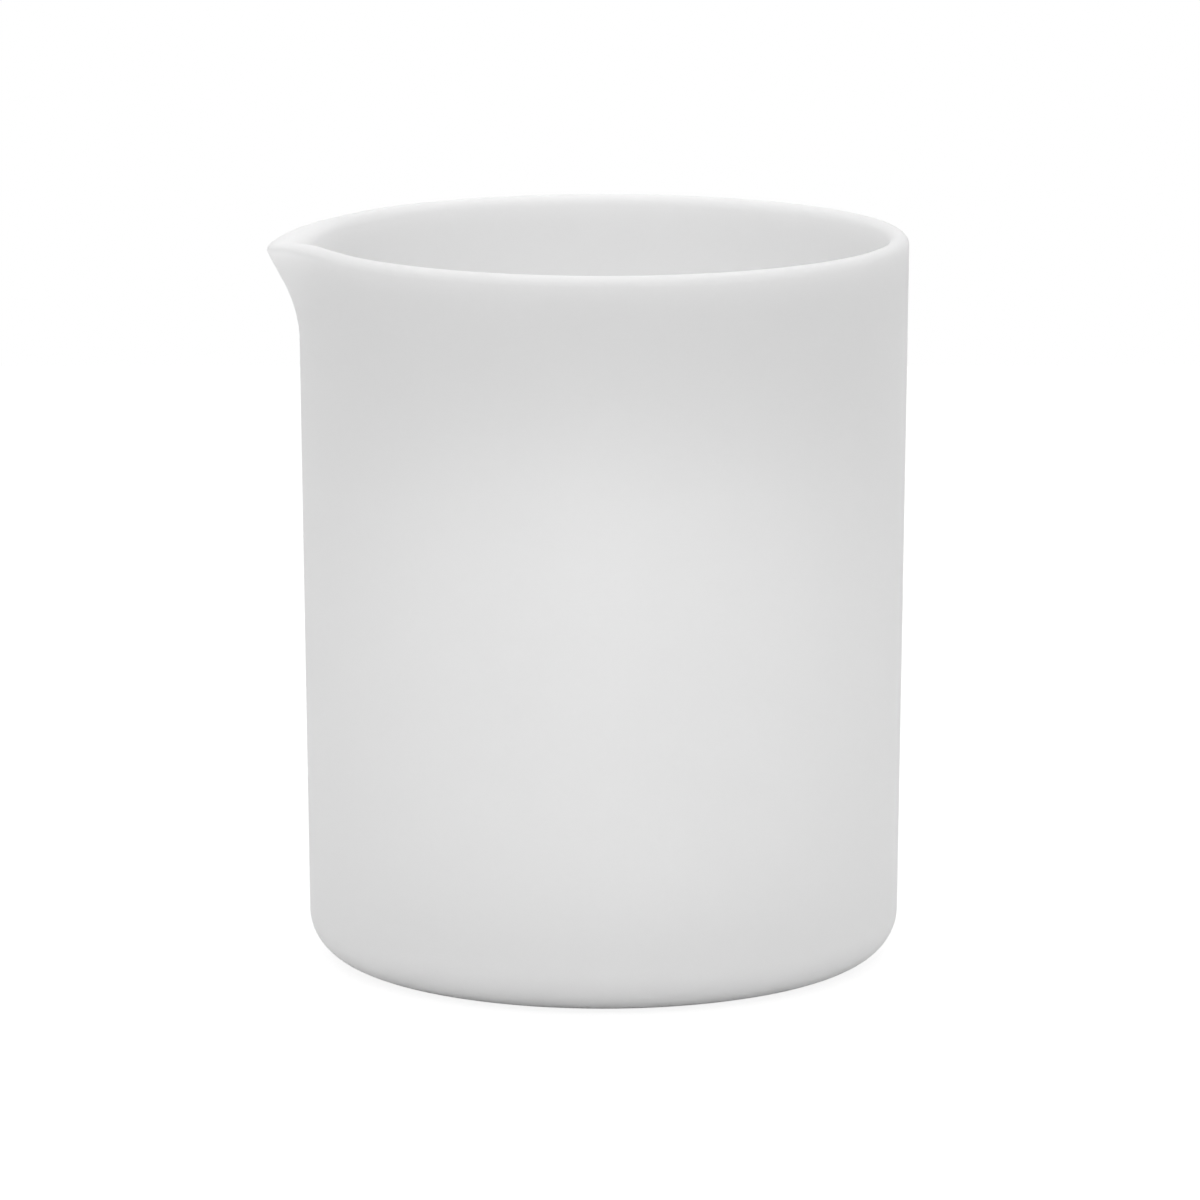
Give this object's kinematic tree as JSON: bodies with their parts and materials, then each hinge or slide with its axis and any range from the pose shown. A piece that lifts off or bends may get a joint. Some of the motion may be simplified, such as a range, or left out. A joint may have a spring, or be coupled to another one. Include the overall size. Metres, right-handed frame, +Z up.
{
  "type": "ptfe beaker",
  "caption": "Straight-walled round laboratory beaker of thick white PTFE, with a rounded base edge, a full-round rim and a shallow pulled pouring spout.",
  "frame": {"origin": "centre of the flat underside, on the axis of the cup", "axes": "+Z up along the axis of the cup, out of its mouth; the spout points along -X"},
  "size_m": [0.0767, 0.073, 0.0875],
  "materials": {
    "ptfe": "white PTFE, smooth and waxy, slightly translucent at the rim"
  },
  "bodies": {
    "root": {"beaker": "ptfe"}
  },
  "joints": []
}
